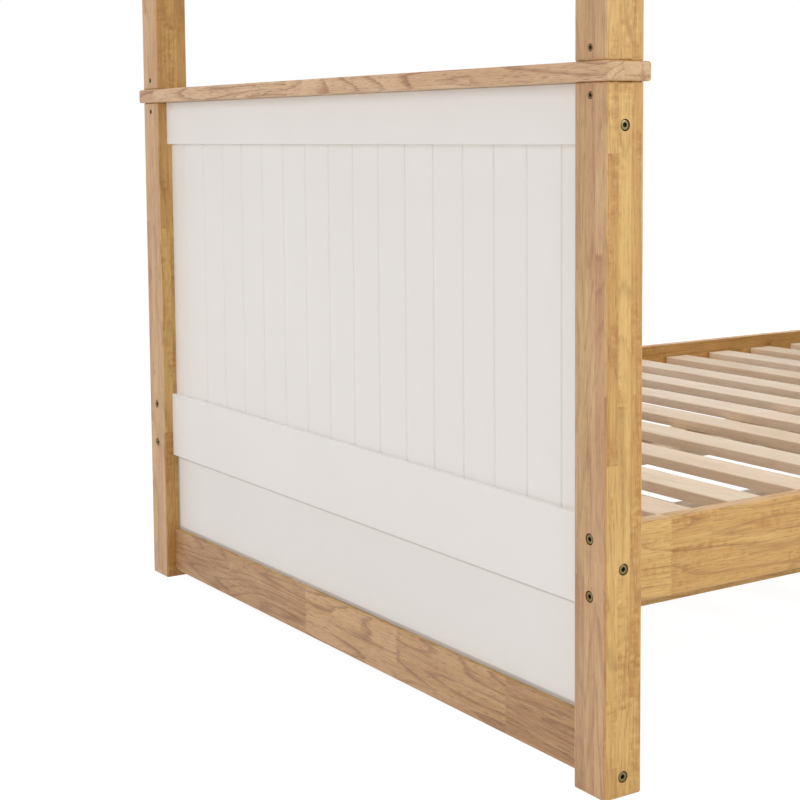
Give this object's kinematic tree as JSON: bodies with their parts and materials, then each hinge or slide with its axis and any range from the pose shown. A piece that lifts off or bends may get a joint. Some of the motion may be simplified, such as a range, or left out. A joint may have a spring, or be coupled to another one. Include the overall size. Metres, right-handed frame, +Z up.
{
  "type": "bunk bed with trundle",
  "caption": "Full-over-full wooden bunk bed with white beadboard ends, slatted decks, guard rails, a hung ladder and a pull-out trundle on castors.",
  "frame": {"origin": "on the floor, in the middle of the whole object's box with the ladder", "axes": "+X along the beds towards the ladder end, +Y across them away from the ladder, +Z up"},
  "size_m": [2.065, 1.5132, 1.747],
  "materials": {
    "rubberwood_post": "satin lacquer",
    "rubberwood_rail": "satin lacquer",
    "slat_wood": "planed, unfinished",
    "white_paint": "satin paint",
    "bronze_bolt": "antique bronze plating",
    "zinc_steel": "zinc plated",
    "castor_nylon": "moulded"
  },
  "bodies": {
    "root": {"barrel_nuts": "bronze_bolt", "beam_brackets": "zinc_steel", "bottom_rail_foot": "rubberwood_rail", "bottom_rail_head": "rubberwood_rail", "cap_dowels": "slat_wood", "centre_beams": "slat_wood", "frame_bolts": "bronze_bolt", "guard_rails_back": "rubberwood_rail", "guard_rails_front": "rubberwood_rail", "guard_uprights": "rubberwood_rail", "joining_pins": "zinc_steel", "kick_panel_foot": "white_paint", "kick_panel_head": "white_paint", "ladder_and_guard_screws": "bronze_bolt", "ladder_stringers": "rubberwood_rail", "ladder_treads": "rubberwood_rail", "lower_beadboard_foot": "white_paint", "lower_beadboard_head": "white_paint", "lower_cap_foot": "rubberwood_rail", "lower_cap_head": "rubberwood_rail", "lower_cross_rail_foot": "white_paint", "lower_cross_rail_head": "white_paint", "lower_post_foot_back": "rubberwood_post", "lower_post_foot_front": "rubberwood_post", "lower_post_head_back": "rubberwood_post", "lower_post_head_front": "rubberwood_post", "lower_side_rail_back": "rubberwood_rail", "lower_side_rail_front": "rubberwood_rail", "lower_slats": "slat_wood", "lower_top_rail_foot": "white_paint", "lower_top_rail_head": "white_paint", "pin_screws": "bronze_bolt", "slat_ledgers": "slat_wood", "slat_screws": "zinc_steel", "upper_beadboard_foot": "white_paint", "upper_beadboard_head": "white_paint", "upper_cap_foot": "rubberwood_rail", "upper_cap_head": "rubberwood_rail", "upper_cross_rail_foot": "white_paint", "upper_cross_rail_head": "white_paint", "upper_post_foot_back": "rubberwood_post", "upper_post_foot_front": "rubberwood_post", "upper_post_head_back": "rubberwood_post", "upper_post_head_front": "rubberwood_post", "upper_side_rail_back": "rubberwood_rail", "upper_side_rail_front": "rubberwood_rail", "upper_slats": "slat_wood", "upper_top_rail_foot": "white_paint", "upper_top_rail_head": "white_paint"},
    "trundle": {"castor_axles": "zinc_steel", "castor_forks": "zinc_steel", "trundle_back": "rubberwood_rail", "trundle_bearers": "slat_wood", "trundle_front": "rubberwood_rail", "trundle_slat_rails": "slat_wood", "trundle_slats": "slat_wood"},
    "castor_wheel_head_front": {"castor_wheel_head_front": "castor_nylon"},
    "castor_wheel_head_back": {"castor_wheel_head_back": "castor_nylon"},
    "castor_wheel_foot_front": {"castor_wheel_foot_front": "castor_nylon"},
    "castor_wheel_foot_back": {"castor_wheel_foot_back": "castor_nylon"}
  },
  "joints": [
    {"name": "trundle_roll", "type": "slide", "parent": "root", "child": "trundle", "axis": [0, -1, 0], "range_m": [0, 1.4]},
    {"name": "castor_spin_head_front", "type": "hinge", "parent": "trundle", "child": "castor_wheel_head_front", "pos_m": [-0.9255, -0.18485, 0.025], "axis": [1, 0, 0], "continuous": true},
    {"name": "castor_spin_head_back", "type": "hinge", "parent": "trundle", "child": "castor_wheel_head_back", "pos_m": [-0.9255, 0.65915, 0.025], "axis": [1, 0, 0], "continuous": true},
    {"name": "castor_spin_foot_front", "type": "hinge", "parent": "trundle", "child": "castor_wheel_foot_front", "pos_m": [0.9255, -0.18485, 0.025], "axis": [1, 0, 0], "continuous": true},
    {"name": "castor_spin_foot_back", "type": "hinge", "parent": "trundle", "child": "castor_wheel_foot_back", "pos_m": [0.9255, 0.65915, 0.025], "axis": [1, 0, 0], "continuous": true}
  ],
  "couplings": [
    {"joint": "castor_spin_head_front", "follows": "trundle_roll", "rad_per_m": 40},
    {"joint": "castor_spin_head_back", "follows": "trundle_roll", "rad_per_m": 40},
    {"joint": "castor_spin_foot_front", "follows": "trundle_roll", "rad_per_m": 40},
    {"joint": "castor_spin_foot_back", "follows": "trundle_roll", "rad_per_m": 40}
  ]
}
